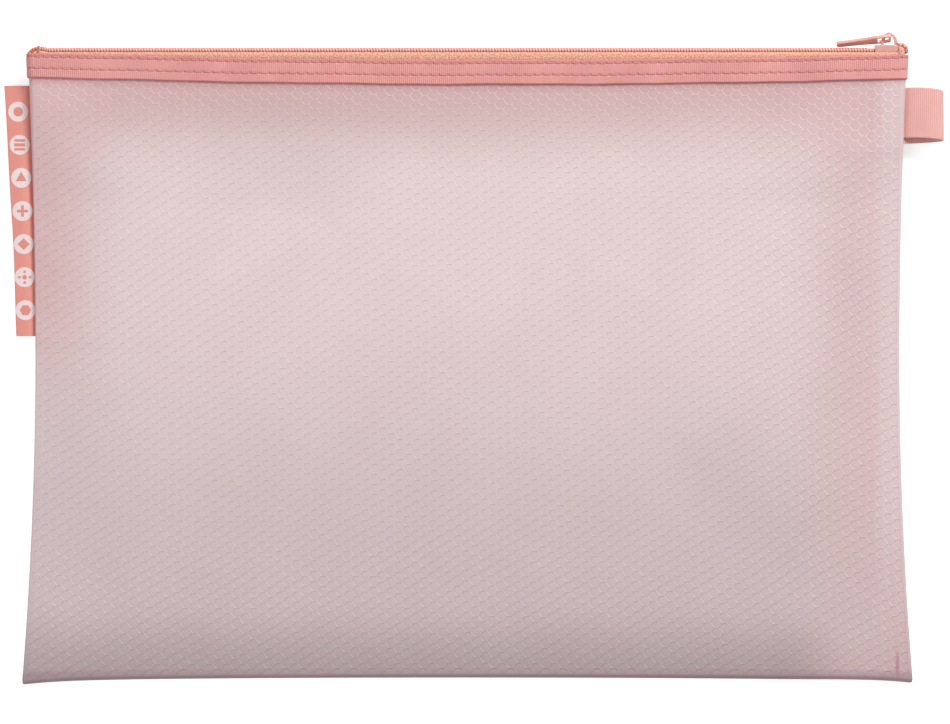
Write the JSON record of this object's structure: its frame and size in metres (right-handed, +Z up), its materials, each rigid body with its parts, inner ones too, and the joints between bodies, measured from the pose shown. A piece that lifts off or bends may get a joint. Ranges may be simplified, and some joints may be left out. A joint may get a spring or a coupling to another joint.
{
  "type": "zipper pouch",
  "caption": "Flat document pouch of frosted net-reinforced film with a coil zipper along the top, sewn ribbon edges, a pull tab, a ribbon loop and a folded side label.",
  "frame": {"origin": "middle of the flat back face, on the table that the pouch lies on", "axes": "+X along the zipper towards its closed end, +Y from the bottom fold towards the zipper, +Z up from the table through the front"},
  "size_m": [0.3581, 0.2477, 0.0126],
  "materials": {
    "film": "frosted translucent soft plastic film with a white net laminated into it",
    "ribbon": "coral pink ribbed grosgrain ribbon",
    "zipper_tape": "peach woven polyester zipper tape",
    "coil": "peach nylon coil",
    "thread": "coral sewing thread",
    "seam_tape": "pink thin woven seam tape",
    "label": "coral satin ribbon with pale printed discs",
    "painted_metal": "salmon pink lacquered zinc"
  },
  "bodies": {
    "pouch": {"film_body": "film", "front_ribbon": "ribbon", "back_ribbon": "ribbon", "front_zipper_tape": "zipper_tape", "back_zipper_tape": "zipper_tape", "front_coil": "coil", "back_coil": "coil", "front_upper_stitches": "thread", "front_lower_stitches": "thread", "back_upper_stitches": "thread", "back_lower_stitches": "thread", "left_seam_tape": "seam_tape", "right_seam_tape": "seam_tape", "left_seam_front_stitches": "thread", "left_seam_back_stitches": "thread", "right_seam_front_stitches": "thread", "right_seam_back_stitches": "thread", "zipper_end_tack": "thread", "ribbon_loop": "ribbon", "side_label": "label"},
    "slider": {"slider_body": "painted_metal"},
    "puller": {"puller": "painted_metal"}
  },
  "joints": [
    {"name": "zipper_slide", "type": "slide", "parent": "pouch", "child": "slider", "axis": [1, 0, 0], "range_m": [-0.3129, 0], "deforming": ["front_coil", "back_coil"]},
    {"name": "puller_hinge", "type": "hinge", "parent": "slider", "child": "puller", "pos_m": [0.1609, 0.1243, 0.0063], "axis": [0, 0, -1], "range_deg": [0, 160]}
  ]
}
